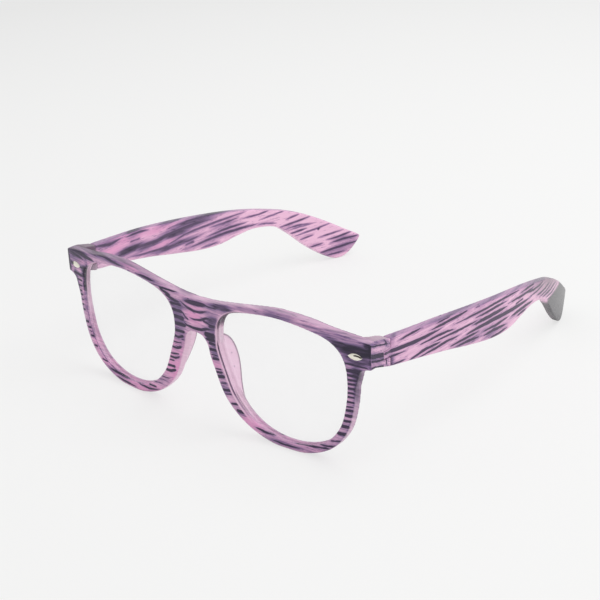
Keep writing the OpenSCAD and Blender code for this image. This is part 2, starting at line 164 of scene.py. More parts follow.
# Streaks along the lower rim and rungs up the outer rim, on the wearer's left
RIM_BARS = [
    (0.4, (25, 4.7), (30, 4), (34.6, 4.2)), (0.3, (32, 2), (38, 1.6), (45, 2)),
    (0.3, (41, 3.6), (50, 4.5), (57.8, 5.4)), (0.28, (51.5, 5.9), (55, 6.1), (58.8, 7)),
    (0.24, (56.2, 8.5), (60.4, 9.4)), (0.62, (58.6, 12.2), (63, 12.5)), (0.55, (60, 15.3), (64, 15.6)),
    (0.36, (61, 17.5), (64.8, 17.8)), (0.5, (61.6, 19.7), (65.4, 20)), (0.4, (62, 21.7), (65.6, 22)),
    (0.2, (62, 23.1), (65.8, 23.4)), (0.3, (62, 24.9), (66, 25.1)), (0.3, (62, 26.8), (66, 27)),
    (0.3, (62, 28.3), (66, 28.5)), (0.36, (62, 30), (66.3, 30.2)), (0.34, (62, 31.6), (66.6, 31.8)),
    (0.36, (62, 33.1), (67, 33.3)), (0.42, (62, 34.7), (67.4, 34.9)), (0.6, (62, 36.4), (68.5, 36.6)),
    (0.32, (60.5, 38.9), (71.5, 38.7)),
]
# On the wearer's right: the brow, the end piece, the rims and the bars beside the nose
RIGHT_STREAKS = [
    (0.8, (-71, 48.2), (-62, 47.4), (-53, 46.5)), (0.6, (-70.5, 46.6), (-65, 46), (-60.5, 45.3)),
    (0.35, (-64, 41.5), (-60, 41.9)),
    (0.6, (-62, 50.4), (-53, 50.3), (-47, 50.5), (-41, 49.8), (-35, 49.4)),
    (0.5, (-28.5, 48.9), (-24, 48.8), (-19, 48.4)),
    (0.28, (-18, 47.1), (-14, 47.1), (-10.5, 47.2), (-7, 47.6)), (0.4, (-16.5, 46.6), (-11, 45.2)),
    (0.5, (-14.2, 45), (-9, 43.9), (-5.8, 43.9)), (0.5, (-58.6, 44.4), (-60.2, 39.5), (-61.8, 33.5)),
    (0.25, (-71.4, 47), (-71.4, 39.8)), (0.5, (-68.5, 38.4), (-62, 38.2)), (0.28, (-67, 36.1), (-63, 36)),
    (0.25, (-66.6, 33.6), (-63.4, 33.8)), (0.28, (-66.2, 31.5), (-63.8, 31.8)),
    (0.4, (-66, 30), (-63.5, 30.2)), (0.2, (-65.6, 28), (-63.3, 28.1)), (0.26, (-65.6, 26), (-63.3, 26.3)),
    (0.32, (-65.2, 24), (-62.9, 24.2)), (0.42, (-63.7, 19.3), (-61.3, 19.6)),
    (0.28, (-62.6, 17.2), (-60.3, 17.5)), (0.16, (-62, 15.8), (-59.9, 15.9)),
    (0.32, (-61.4, 14), (-59, 14.4)), (0.4, (-59.6, 10.5), (-57.2, 10.7)), (0.24, (-55.2, 6.4), (-51.4, 6)),
    (0.42, (-51, 3.9), (-45, 3.6), (-38, 3.4)), (0.3, (-33.5, 3.4), (-27, 3.3), (-21.6, 4.6)),
    (0.26, (-27, 5.2), (-22.6, 5.4)), (0.3, (-48, 2), (-42, 1.5), (-34, 1.3)),
    (0.5, (-11.8, 42.5), (-5.6, 42.7)), (0.65, (-11, 40.2), (-5.4, 40.4)),
    (0.7, (-10.5, 37.8), (-4.8, 37.9)), (0.6, (-10.4, 35), (-4.2, 35.4)), (0.5, (-10.7, 32.3), (-5, 32.7)),
    (0.45, (-11.4, 30.1), (-8.5, 29.8), (-5.8, 31)), (0.2, (-12, 27.2), (-6.9, 28)),
    (0.4, (-12.8, 25.2), (-9.8, 25.2), (-7.2, 26.4)), (0.2, (-13.4, 22.2), (-8.6, 23.1)),
    (0.3, (-14, 20.8), (-11, 20.9), (-8.4, 22.1)), (0.15, (-14.4, 19.4), (-11.5, 19.6)),
    (0.45, (-15.8, 16.9), (-11.2, 17.3)), (0.45, (-17.2, 14.7), (-14, 14.8), (-11, 16.2)),
    (0.12, (-20, 11.1), (-16, 11.2), (-13, 12.4)), (0.02, (-21.2, 9.5), (-16.6, 10)),
    (0.06, (-23.6, 7.6), (-18.6, 8.1)),
]
# On the side of the end piece, in y and z
STUB_BANDS = [
    (0.72, (-4, 45.4), (6, 43), (8, 42.4), (10, 41.9), (12.6, 41.2), (22, 38.6)),
    (0.3, (-2, 40.8), (6.5, 38.8), (8.5, 38.3), (13.2, 36.9), (20, 34.7)),
]
STUB_LINES = [
    (0.2, (0, 48.9), (6, 46.7), (8, 46), (10, 45.6), (12, 45), (14.6, 44.3), (19, 42.6)),
    (0.3, (-2, 43.7), (6, 41.4), (8, 40.7), (10, 40.1), (12, 39.6), (14.2, 39.3), (22, 38.6)),
    (0.1, (13.3, 46.9), (13.8, 45.8), (14.6, 44.8), (14.8, 44.2), (14.3, 43.5)),
    (0.16, (14.2, 40), (14.6, 39), (14.5, 38), (14.7, 36.6)), (0.5, (15.8, 41.2), (22, 40.6)),
]
# Specks in the pads, in x and z
SPECKS = [
    (0.02, (17.4, 25.9), (17.9, 26.2)), (0.0, (16.6, 30.9), (17, 31.1)), (0.0, (12.3, 35.4), (12.6, 35.6)),
    (0.0, (14.9, 19.4), (15.2, 19.6)),
]
# On the outer face of an arm, in y and z
OUTER_STREAKS = [
    (0.62, (2, 41.6), (16, 40.9), (24, 40.3), (33, 40), (43.5, 40.1)),
    (0.3, (19.7, 43.3), (26.7, 43.9), (32, 44)), (0.26, (38.8, 42.7), (44.3, 42.9), (49.5, 42.7)),
    (0.42, (35, 41.4), (46.7, 41.4), (52.7, 41.3), (61, 41.8)), (0.26, (10, 39.5), (17, 38.9), (24, 38.4)),
    (0.34, (47, 39), (55, 38.6), (62, 38.3), (70, 37.8), (80, 37.3), (90, 36.4), (100, 35.4)),
    (0.36, (30, 38.1), (38.3, 38.1), (45.3, 37.8), (50.5, 36.9)),
    (0.3, (36, 36.4), (45.3, 36.2), (53.3, 35.7), (65, 35.3)),
    (0.42, (24, 34.2), (30, 35), (34, 35.5), (42.5, 35.1)),
    (0.36, (29.5, 33.6), (38.3, 33.8), (45, 34.2), (53.5, 33.6)), (0.22, (15.5, 35.8), (24, 35.5)),
    (0.7, (54, 32.4), (62, 32.4), (68, 32.1), (74.3, 31.7), (86, 30.5), (94, 29.8), (106, 28.9)),
    (0.4, (46.5, 31.5), (55, 31.3), (65, 30.8)), (0.42, (49.5, 30.2), (57, 29.6), (66, 28.4)),
    (0.25, (61.5, 40.5), (68.5, 40.7)), (0.36, (61, 36.8), (69.3, 36.2), (76, 36), (85, 35.2)),
    (0.62, (60, 34.5), (67.7, 34.2), (74.3, 33.8), (85, 33)), (0.4, (66.5, 29.6), (76, 28.8), (86.5, 28.6)),
    (0.48, (67, 27.8), (74.3, 27.5), (79.3, 26.8), (84.5, 26.2)),
    (0.36, (71.5, 25.4), (78, 24.7), (85, 24.6)), (0.36, (84.5, 33.8), (91, 33.3), (96, 32.7), (109, 32)),
    (0.25, (91, 31.4), (97.6, 31.1)), (0.48, (86, 27.7), (92, 27.7), (99.3, 27.4), (107.5, 26.6)),
    (0.38, (94, 34.3), (101, 34), (108, 33.4), (113.5, 33.2)), (0.3, (92, 26), (101, 26)),
    (0.34, (98, 32.8), (107.2, 30.9), (113.8, 30.3), (119, 30.7)),
    (0.2, (103, 29.6), (111, 28.9), (121, 29.2)), (0.3, (110, 27.1), (118.8, 26.4), (127, 26.7)),
    (0.2, (114, 25.2), (122, 24.8), (130, 25.2)), (0.3, (117, 23.8), (127.2, 23), (135.5, 23.4)),
    (0.2, (121, 22), (130, 21), (138, 21.6)), (0.26, (123, 20.4), (130.5, 19), (136, 19)),
    (0.2, (126.6, 16.7), (133.5, 15.8)),
]
# On the inner face of an arm, in y and z
INNER_STREAKS = [
    (0.75, (14.5, 45.2), (20.7, 43.8), (25, 43.1), (31.5, 43.5)),
    (0.65, (33, 43), (37.3, 43), (42.3, 42.8), (47, 41.9)), (0.45, (34.5, 44.4), (41, 44.6)),
    (0.35, (35.5, 40.3), (41.5, 40)), (0.5, (21, 37.2), (28, 36.7), (38, 36.4)),
    (0.95, (26.5, 38.1), (34, 37.3), (44, 36.4), (50.7, 35.9), (57, 36.5), (66, 36.7), (73, 36.6),
        (85, 35.9)),
    (0.65, (57, 39.2), (69.3, 39), (77.3, 38.5), (84.3, 38.3), (91, 37.3)),
    (0.5, (33, 34.4), (44, 32.7), (54, 31.7), (67, 30.2)),
    (0.45, (49, 32), (56, 32.2), (61, 32.8), (66, 33.7), (76, 34), (88, 34), (102, 34.2)),
    (0.5, (55, 30.8), (62.7, 31.3), (67.7, 30.4), (77, 30.7)),
    (0.4, (81, 32.5), (89.3, 32.3), (97.5, 32.6)),
    (0.55, (78.5, 28.9), (87.7, 29.4), (92.7, 29.5), (102, 29.2)),
    (0.62, (66.5, 26.9), (79.3, 27.5), (89.3, 27.7), (99.3, 27.4), (109, 26.8)),
    (0.4, (66.5, 29), (72, 29.3)), (0.3, (75.5, 24.9), (86, 24.8)),
    (0.75, (73, 40.5), (82.7, 38.9), (90, 37.6)), (0.24, (98.5, 31.5), (108.8, 31.1), (115.5, 31.7)),
    (0.2, (107, 26.7), (113, 25.9), (118, 24.6)), (0.14, (124, 19.6), (131, 19.8), (139, 20)),
    (0.2, (108.5, 28.4), (116.8, 28.9), (124, 29.5)), (0.22, (123, 25), (130.5, 26)),
    (0.36, (118.5, 22), (129.3, 22.8), (136, 23.5)), (0.26, (121.5, 20.4), (129.3, 20.8), (137, 20)),
    (0.36, (124.5, 17.7), (134, 18.3)), (0.22, (127.5, 16), (139.7, 17), (146.5, 18)),
    (0.55, (139.3, 16.6), (140.7, 16.6)), (0.26, (130, 13.5), (137.5, 14.4)),
    (0.26, (139.5, 12.3), (153, 13.4)), (0.42, (143.5, 10.2), (150, 10.5), (157.5, 11.8)),
    (0.52, (145.5, 8.2), (152, 8.9), (161, 9.2)), (0.3, (134.5, 8.7), (142.5, 9.2)),
    (0.6, (139, 4.6), (150, 5.5), (161, 6.5)), (0.34, (143, 2.7), (154, 2.9)),
]
# Dark reflections in the two studs, in x and z
GLINTS = [
    (0.08, (65.7, 42.4), (66.6, 42.55), (67.6, 42.4), (68.6, 41.95)),
    (0.5, (-68.7, 42.9), (-68, 42.3), (-67.9, 41.5)),
]
# Soft patches of tone on the front, as (x, z, reach in x, reach in z, tone)
FRONT_TONES = [
    (8, 43.6, 4, 3, 0.3), (9, 40, 3.4, 3.4, 0.56), (7.6, 34.5, 3, 2.2, 0.5), (0, 45.4, 6, 1.2, 0.5),
    (13.2, 46.8, 6, 1.5, 0.68), (37, 49.3, 8, 0.9, 0.5), (37, 51, 9, 1.7, 0.36), (-3, 48.6, 4, 1.2, 0.3),
    (47, 48.6, 8, 0.9, 0.4), (54, 47.6, 5, 1, 0.4), (56.5, 46.2, 4, 1.2, 0.6), (25, 48.9, 8, 1.2, 0.4),
    (60, 49.4, 6, 0.45, 0.6), (66, 49.1, 4, 0.6, 0.45), (60, 47.6, 9, 1.5, 0.36), (66.5, 43.9, 8, 2.6, 1),
    (71, 46.2, 2.4, 1.5, 0.9), (61.6, 39.5, 1, 2.4, 0.5), (60.6, 44.8, 5, 1.6, 0.86), (67, 41, 7, 2, 0.68),
    (66.8, 36, 2.4, 4, 0.5), (66.6, 30, 1.4, 5, 0.4), (66, 24, 1.2, 4, 0.16), (-71.6, 42, 1.9, 9, 0.9),
    (-66, 46.4, 10, 5, 0.5), (-60.4, 39.6, 2.3, 4, 0.95), (-61.6, 34.4, 1.2, 3.4, 0.8),
    # The patch at (-69.2, 41.9), beside the left end of the wearer's right stud, is a painted dark
    # reflection
    (-69.2, 41.9, 0.9, 0.9, 0.9), (-67.1, 31, 1.7, 9, 0.62), (-62.2, 28, 1, 6, 0.34),
    (-59, 18, 0.6, 5, 0.3), (-8, 42.4, 5, 2.4, 0.4), (-36, 52.1, 10, 0.7, 0.34), (-50, 50.6, 8, 0.9, 0.66),
    (-58, 49.8, 9, 0.9, 0.5), (-64, 50.4, 7, 2, 0.36), (-8, 37, 4, 5, 0.46), (-8.4, 30, 4, 5, 0.34),
    (-45, 50.8, 24, 2.6, 0.42), (-22, 48.5, 7, 2.2, 0.3), (-42, 2.4, 14, 1.4, 0.24),
    (-28, 3.6, 10, 1.4, 0.28), (-50.8, 3.4, 5, 1.4, 0.6), (-59.4, 44, 1.4, 4, 0.6), (-11, 21, 2, 5, 0.24),
    (40, 2, 18, 1.1, 0.34), (50, 3.2, 6, 1.2, 0.22), (9.4, 30, 2.6, 6, 0.4), (12.4, 16, 2.4, 4, 0.3),
    (19.6, 7.8, 2.4, 1.4, 0.5),
]
# Patches of stronger pink, on the front and on the inner face of an arm
FRONT_ROSE = [
    (-9.6, 25, 4, 6, 0.6), (-12.5, 17, 5, 6, 0.9), (-30, 3.4, 16, 3.4, 0.8), (-48, 5, 8, 4, 0.7),
    (-57, 14, 3, 6, 0.6), (0, 40.2, 4, 2.8, 0.9), (1, 44, 4, 0.9, 0.6), (24, 6.5, 6, 3, 0.8),
    (-30, 51, 9, 1.4, 0.7), (-60, 44.6, 5, 1.6, 0.6), (9, 24.5, 3, 1.6, 0.7), (45, 3.4, 14, 2, 0.3),
]
INNER_ROSE = [
    (36, 43, 12, 3, 0.8), (24, 40, 9, 2, 0.8), (52, 40.6, 9, 1.6, 0.7), (54, 33.6, 10, 1.4, 0.7),
]
OUTER_TONES = [
    (74, 31, 18, 3, 0.08), (60, 29.5, 14, 1.6, 0.22), (104, 34.6, 14, 1.4, 0.12),
    (17.2, 45, 1.2, 2.2, 0.26), (16.2, 37.4, 1.6, 2, 0.6), (92, 26.6, 10, 0.8, 0.2),
    (52, 43.6, 26, 0.9, 0.22), (84, 40.2, 22, 1, 0.2), (100, 37.4, 14, 1, 0.2), (118, 32.4, 10, 1.4, 0.24),
    (73, 26.4, 6, 0.9, 0.35),
]
INNER_TONES = [
    (72, 37.6, 16, 1.6, 0.46), (61, 36.2, 14, 1.4, 0.46), (60, 31, 12, 1.4, 0.5), (35, 37.2, 8, 1.8, 0.62),
    (46, 35.4, 9, 1.6, 0.46), (37, 42, 5, 1.6, 0.2), (24, 43.6, 7, 1.6, 0.3), (80, 27.4, 17, 1.4, 0.2),
    (58, 41.6, 7, 1.2, 0.4), (62, 35.4, 7, 1.4, 0.6), (88, 31, 7, 0.9, 0.3), (84, 38.6, 9, 0.9, 0.4),
    (18, 41, 3, 4, 0.3), (126, 20.6, 8, 1.4, 0.16), (134, 14.4, 5, 1, 0.16), (153, 8.8, 6, 1.8, 0.34),
    (148, 3.6, 8, 1.8, 0.36), (112, 26.2, 8, 0.8, 0.2), (138, 9, 4, 1, 0.24), (38, 44.4, 6, 0.9, 0.34),
    (154, 6.4, 7, 3.6, 0.32),
]
# Places in y and heights above which the edge of an arm is darker, and where its grey starts, and its slant
RIDGE = ([16, 60, 100, 130, 150], [43, 40, 33, 24, 14])
GREY_Y, GREY_Z, GREY_SLANT = 134.4, 13.1, 1.05


def face_y(x):
    """Depth of the face curve behind the middle of the front."""
    return FACE_R - np.sqrt(FACE_R**2 - x**2)


STUB_Y = face_y(END_X) + FRONT_T
SLOPE_Y = STUB_Y - FRONT_T / 2


def smooth(points, closed=False):
    """Smooth line through points, each stretch shaped by its four nearest points."""
    p = np.array(points, float)
    p = np.vstack([p[-1:], p, p[:2]] if closed else [p[:1], p, p[-1:]])[:, None]
    a, b, c, d = p[:-3], p[1:-2], p[2:-1], p[3:]
    t = (np.arange(SPLINE_STEPS) / SPLINE_STEPS)[:, None]
    line = 2 * b + (c - a) * t + (2 * a - 5 * b + 4 * c - d) * t**2 + (3 * b - 3 * c + d - a) * t**3
    line = line.reshape(-1, 2) / 2
    return line if closed else np.vstack([line, p[-1]])


def spaced(a, b, shares):
    """Points given as shares of the way from a to b, across and up."""
    return [(a[0] + (b[0] - a[0]) * s, a[1] + (b[1] - a[1]) * t) for s, t in shares]


def arc(x, y, r, first, last):
    """Quarter of a circle about (x, y), from the first angle to the last."""
    turn = np.radians(np.linspace(first, last, 10))
    return np.stack([x + r * np.cos(turn), y + r * np.sin(turn)], 1)


def normals_of(loop):
    """Outward directions of a counter-clockwise loop."""
    d = np.roll(loop, -1, 0) - np.roll(loop, 1, 0)
    out = np.stack([d[:, 1], -d[:, 0]], 1)
    return out / np.linalg.norm(out, axis=1, keepdims=True)


def rim_width(d):
    """Width of the rim in the outward directions d."""
    side = np.where(d[:, 0] > 0, RIM_SIDE, RIM_NOSE)
    return side * d[:, 0] ** 2 + RIM_BOTTOM * d[:, 1] ** 2


LENS = smooth([(LENS_X + s * LENS_W / 2, LENS_Z + t * LENS_H / 2) for s, t in LENS_SHAPE], closed=True)
LENS_OUT = normals_of(LENS)
LENS_RIM = rim_width(LENS_OUT)


def half_front():
    """Front view of one half of the front, from the nose arch round to the bridge."""
    where = slice(round(RIM_FROM * SPLINE_STEPS), round(RIM_TO * SPLINE_STEPS) + 1)
    rim = (LENS + LENS_RIM[:, None] * LENS_OUT)[where]
    arch = smooth(spaced((0, BRIDGE_Z - BRIDGE_H), rim[0], ARCH))
    under = smooth(spaced(rim[-1], (END_X, STUB_Z), UNDER_END))
    crest = (CREST_X, BROW_Z)
    brow = smooth(spaced((END_X, END_Z), crest, BROW_OUTER) + spaced((0, BRIDGE_Z), crest, BROW_INNER))
    return np.vstack([
        arch[arch[:, 0] < rim[0, 0]], rim, under[under[:, 1] > rim[-1, 1]], [(END_X, STUB_Z)], brow
    ])


HALF_FRONT = half_front()
WHOLE_FRONT = np.vstack([HALF_FRONT, HALF_FRONT[::-1] * (-1, 1)])


def arm_x(s):
    """Sideways place of the outer face of an arm at a share s of its length."""
    s = np.clip(s, 0, 1)
    return END_X + 6 * ARM_BOW * s * (1 - s) * (1 - s / 5) - TIP_TUCK * s**3


def arm_side():
    """Side view of an arm, in y and z."""
    points = [(ARM_Y + s * ARM_L, t * HINGE_TOP) for s, t in ARM_TOP + ARM_TIP + ARM_BOTTOM]
    return np.vstack([smooth(points), [(ARM_Y, HINGE_BOTTOM)]])


def outline_field(points, a, b):
    """Distance of places (a, b) from a closed outline, negative inside, and the nearest place on it."""
    best = np.full(np.shape(a), 1e9)
    place = np.zeros(np.shape(a))
    inside = np.zeros(np.shape(a), bool)
    p = np.asarray(points, float)
    for i, ((x0, y0), (x1, y1)) in enumerate(zip(p, np.roll(p, -1, 0))):
        dx, dy = x1 - x0, y1 - y0
        if dx == 0 and dy == 0:
            continue
        t = np.clip(((a - x0) * dx + (b - y0) * dy) / (dx * dx + dy * dy), 0, 1)
        d = np.hypot(a - x0 - t * dx, b - y0 - t * dy)
        nearer = d < best
        best = np.where(nearer, d, best)
        place = np.where(nearer, i + t, place)
        if dy:
            inside ^= ((y0 > b) != (y1 > b)) & (a < x0 + dx * (b - y0) / dy)
    return np.where(inside, -best, best), place


def both(a, b, r):
    """What two solids share, with the edge between them rounded to radius r."""
    return np.minimum(np.maximum(a, b), -r) + np.hypot(np.maximum(a + r, 0), np.maximum(b + r, 0))


def cut(a, b):
    """A solid without another."""
    return np.maximum(a, -b)


def layer(a, middle, thick):
    """What lies within half a thickness of a middle."""
    return np.abs(a - middle) - thick / 2


def joined(a, b, k):
    """Two solids grown together, with a soft hollow of about k between them."""
    return np.minimum(a, b) - np.maximum(k - np.abs(a - b), 0) ** 2 / (4 * k)


def ease(x, start, end):
    """Smooth step from 0 at start to 1 at end, whichever of them is lower."""
    t = np.clip((x - start) / (end - start), 0, 1)
    return t * t * (3 - 2 * t)


def mix(share, a, b):
    """Passes from a to b as the share goes from 0 to 1."""
    return a * (1 - share) + b * share


def soft_line(values, middle, half, power=2):
    """1 where the values are at the middle of a line, fading over its half width."""
    return np.exp(-(((values - middle) / half) ** power))


def grid(lows, highs, steps):
    """Coordinate arrays of a grid of points, each shaped to spread over the whole grid."""
    axes = [np.arange(low, high + step, step) for low, high, step in zip(lows, highs, steps)]
    return axes[0][:, None, None], axes[1][None, :, None], axes[2][None, None, :]


def skin(values):
    """Points, in grid steps, and quads of the zero level of a grid of distances, by surface nets."""
    shape = tuple(n - 1 for n in values.shape)
    quads, crossings = [], []
    for axis in range(3):
        low = np.take(values, range(shape[axis]), axis)
        high = np.take(values, range(1, shape[axis] + 1), axis)
        where = np.argwhere((low < 0) != (high < 0))
        a, b = low[tuple(where.T)], high[tuple(where.T)]
        crossing = where.astype(float)
        crossing[:, axis] += a / (a - b)
        backs = (np.roll((0, u, v), axis) for u, v in ((1, 1), (0, 1), (0, 0), (1, 0)))
        quad = np.stack([np.ravel_multi_index((where - back).T, shape) for back in backs], 1)
        quad[a > 0] = quad[a > 0][:, ::-1]
        quads.append(quad)
        crossings.append(crossing)
    cells, crossings = np.vstack(quads), np.repeat(np.vstack(crossings), 4, 0)
    _, number, count = np.unique(cells, return_inverse=True, return_counts=True)
    sums = [np.bincount(number.ravel(), crossings[:, k]) for k in range(3)]
    return (sums / count).T, number.reshape(cells.shape)


def relaxed(points, quads):
    """Evens out the points of a skin, keeping its volume by a push back after each pull."""
    edges = np.vstack([quads[:, [i, (i + 1) % 4]] for i in range(4)])
    edges = np.unique(np.vstack([edges, edges[:, ::-1]]), axis=0)
    near = np.bincount(edges[:, 0])
    for share in EVEN_ROUNDS * EVEN_SHARES:
        sums = [np.bincount(edges[:, 0], points[edges[:, 1], k]) for k in range(3)]
        points = points + share * ((sums / near).T - points)
    return points


def shell(field, corner, steps):
    """Coordinates of the points, and the quads, of the surface in a grid that starts at corner."""
    points, quads = skin(field)
    return (relaxed(points, quads) * steps + corner).T, quads


def add_to_scene(name, data):
    made = bpy.data.objects.new(name, data)
    bpy.context.scene.collection.objects.link(made)
    return made


def new_object(name, points, faces):
    mesh = bpy.data.meshes.new(name)
    mesh.from_pydata((np.asarray(points) * MM).tolist(), [], [list(map(int, f)) for f in faces])
    mesh.update()
    mesh.validate()
    mesh.shade_smooth()
    return add_to_scene(name, mesh)


def streak_field(strokes, a, b):
    """How far inside the nearest streak each place lies; below zero between the streaks."""
    best = np.full(len(a), NO_STREAK)
    for half, *line in strokes:
        line = np.array(line, float)
        steps = np.hypot(*np.diff(line, axis=0).T)
        starts = np.concatenate([[0], np.cumsum(steps)])
        away, along = np.full(len(a), 9.0), np.zeros(len(a))
        for (x0, y0), (x1, y1), start, length in zip(line[:-1], line[1:], starts, steps):
            t = np.clip(((a - x0) * (x1 - x0) + (b - y0) * (y1 - y0)) / length**2, 0, 1)
            d = np.hypot(a - x0 - t * (x1 - x0), b - y0 - t * (y1 - y0))
            along = np.where(d < away, (start + t * length) / starts[-1], along)
            away = np.minimum(d, away)
        power = LONG_TAPER if starts[-1] > SHORT_STREAK else SHORT_TAPER
        width = (half + STREAK_MORE) * (1 - np.abs(2 * along - 1) ** power)
        best = np.maximum(best, width - away)
    return best


def tone_field(patches, a, b):
    """Soft tone built from round patches that fade outwards."""
    tone = np.zeros(len(a))
    for x, z, reach_x, reach_z, depth in patches:
        far = ((a - x) / reach_x) ** 2 + ((b - z) / reach_z) ** 2
        tone = np.maximum(tone, depth * np.clip(PATCH_CORE * np.exp(-far), 0, 1))
    return tone


def set_attributes(piece, **fields):
    """Gives each point of a piece numbers, one or three for each name, that its material reads."""
    for name, values in fields.items():
        values = np.asarray(values, np.float32)
        kind, field = ("FLOAT", "value") if values.ndim == 1 else ("FLOAT_VECTOR", "vector")
        piece.data.attributes.new(name, kind, "POINT").data.foreach_set(field, values.ravel())


def lean(x, v, z):
    """From the straightened front, with depth v behind its face, to the standing front."""
    y = v + face_y(x)
    return y * math.cos(LEAN) - z * math.sin(LEAN), z * math.cos(LEAN) + y * math.sin(LEAN) - REST_FLAT


def pad_swell(place):
    """How far a place on the outline lies past the ends of the pad, and how far the pad swells there."""
    share = (place / SPLINE_STEPS - PAD_FROM) / (PAD_TO - PAD_FROM)
    there = np.clip(share, 0, 1)
    return share - there, np.sin(np.pi * there**PAD_SKEW)


def pad_top(place):
    """Depth of the ridge of the pad behind the face."""
    past, swell = pad_swell(place)
    return FRONT_T - PAD_SINK + PAD_FOOT + PAD_D * swell - PAD_FALL * np.abs(past)


def pad_field(v, out, place):
    """Nose pad: a fin along the nose side of the rim that swells and fades."""
    swell = pad_swell(place)[1]
    width = np.interp(place, np.arange(len(LENS) + 1), np.append(LENS_RIM, LENS_RIM[0]))
    middle = (width + PAD_LEDGE[0] - PAD_LEDGE[1]) / 2
    half = (width - PAD_LEDGE[0] - PAD_LEDGE[1]) / 2
    tip = np.minimum(PAD_T / 2, half)
    low = FRONT_T - PAD_SINK
    rise = pad_top(place) - low
    up = np.clip((v - low) / np.maximum(rise, 0.1), 0, 1)
    side = np.abs(out - middle + PAD_FLARE * swell * up) - (half + (tip - half) * np.sqrt(up))
    return np.maximum(both(side, v - low - rise, PAD_EDGE_R), low - PAD_ROOT - v)


def leg_field(x, y, z):
    """End piece behind the front, with the two fixed knuckles and room for the third."""
    inner = HINGE_X - KNUCKLE_R
    corner_x = inner - STUB_FILLET
    corner_y = face_y(corner_x) + FRONT_T
    plan = np.vstack([
        [(corner_x, corner_y - FRONT_T / 2), (inner, SLOPE_Y), (END_X, SLOPE_Y)],
        [(END_X, HINGE_BACK + KNUCKLE_R)],
        arc(HINGE_X, HINGE_BACK, KNUCKLE_R, 90, 180),
        arc(corner_x, corner_y + STUB_FILLET, STUB_FILLET, 0, -90),
    ])
    side = [
        (0, END_Z), (0, STUB_Z), (SLOPE_Y, STUB_Z),
        (ARM_Y, HINGE_BOTTOM), (ARM_Y, HINGE_TOP), (STUB_Y, END_Z),
    ]
    leg = both(outline_field(plan, x, y)[0], outline_field(side, y, z)[0], JOINT_EDGE_R)
    room_r = KNUCKLE_R + HINGE_GAP
    from_axis = np.hypot(x - HINGE_X, y - HINGE_BACK)
    swing = np.maximum(x - HINGE_X, layer(y, HINGE_BACK, 2 * room_r))
    room = np.minimum(np.minimum(from_axis - room_r, swing), HINGE_BACK - y)
    room = np.maximum(room, layer(z, TONGUE_Z, TONGUE_H + 2 * HINGE_GAP))
    leg = both(leg, -room, ROOM_EDGE_R)
    head_share = (HINGE_BACK - SCREW_HEAD_R - SLOPE_Y) / (ARM_Y - SLOPE_Y)
    head_top = STUB_Z + (HINGE_BOTTOM - STUB_Z) * head_share + SCREW_HEAD_H + SCREW_HEAD_GAP
    bore = np.minimum(
        np.maximum(from_axis - SCREW_HEAD_R - SCREW_HEAD_GAP, z - head_top),
        np.maximum(from_axis - SCREW_ROOM, z - HINGE_TOP + SCREW_ROOF),
    )
    return cut(leg, bore)


def front_field(x, v, z):
    """Distance field of one half of the front, straightened, for x from 0 outwards."""
    flat_x, flat_z = np.broadcast_arrays(x[:, 0, :], z[0])
    outer = outline_field(WHOLE_FRONT, flat_x, flat_z)[0][:, None, :]
    out, place = (f[:, None, :] for f in outline_field(LENS, flat_x, flat_z))
    ring = cut(outer, out)
    front_edge = EDGE_R + (END_EDGE_R - EDGE_R) * ease(x, END_X - 9, END_X - 1)
    front_edge = front_edge + (LOW_EDGE_R - EDGE_R) * ease(z, 10, 2)
    edge = np.where(v < FRONT_T / 2, front_edge, REAR_EDGE_R)
    edge = np.where(-out > outer, LENS_EDGE_R, edge)
    plate = both(ring, layer(v, FRONT_T / 2, FRONT_T), edge)
    plate = cut(joined(plate, pad_field(v, out, place), PAD_BLEND), out)
    groove = np.maximum(out - GROOVE, layer(v, LENS_SET + LENS_T / 2, LENS_T + 2 * GROOVE_GAP))
    plate = cut(plate, groove)
    y, high = np.broadcast_arrays(*lean(x, v, z))
    near = int(np.searchsorted(x[:, 0, 0], END_X - 12))
    leg = leg_field(np.broadcast_to(x, y.shape)[near:], y[near:], high[near:])
    plate[near:] = np.minimum(plate[near:], leg)
    return cut(plate, high - FLOOR_CUT)


def build_front():
    x, v, z = grid((0, -MARGIN, -MARGIN_LOW), (END_X + MARGIN, GRID_DEEP, BROW_Z + MARGIN), STEP)
    field = front_field(x, v, z)
    field = np.concatenate([field[:0:-1], field])
    (x, v, z), quads = shell(field, (-x[-1, 0, 0], v[0, 0, 0], z[0, 0, 0]), STEP)
    y, high = lean(x, v, z)
    piece = new_object("front", np.stack([x, y + SHIFT_Y, high], 1), quads)
    colour_front(piece, x, v, z)
    return piece


class FrontZones:
    """Soft shares, from 0 to 1, of the zones of the front in which its straightened points lie."""

    def __init__(self, x, v, z):
        self.x, self.v, self.z = x, v, z
        self.depth = v + face_y(x)
        toward = v / (self.depth - EYE[1])
        self.run = x + toward * (EYE[0] - x), z + toward * (EYE[2] - z)
        side = np.abs(x)
        self.past_lens, self.along = outline_field(LENS, side, z)
        self.left, self.right = x > 0, x < 0
        self.low, self.high = ease(z, 17, 13), ease(z, 31, 34)
        self.ends = self.low + self.high
        self.face = ease(v, 0.7, 0.35)
        self.inner = ease(self.past_lens, 1.1, 0.85) * ease(v, 0.2, 0.5)
        self.stub = ease(side, END_X - 0.9, END_X - 0.5) * ease(v, 0.3, 0.6)
        self.behind = ease(v, FRONT_T + 0.2, FRONT_T + 1) * ease(side, END_X - 8, END_X - 6)
        self.pad = ease(v, FRONT_T + 0.1, FRONT_T + 0.7) * (1 - self.behind) * (1 - self.stub)
        self.nose = ease(LENS_X - 12 - side, -2, 6)
        self.far_nose = self.nose * self.right * ease(z, 39, 36)
        self.pale = ease(v, 1.9, 2.4) * ease(v, 3.6, 3.3) * self.right
        # Painted highlight: a pale band on the face along the lens opening beside the nose, on the wearer's
        # left, for light caught by the rounded edge there
        bevel = soft_line(self.past_lens, 0.5 - 0.22 * self.high, 0.42, 4)
        self.bevel = bevel * self.face * self.nose * self.left


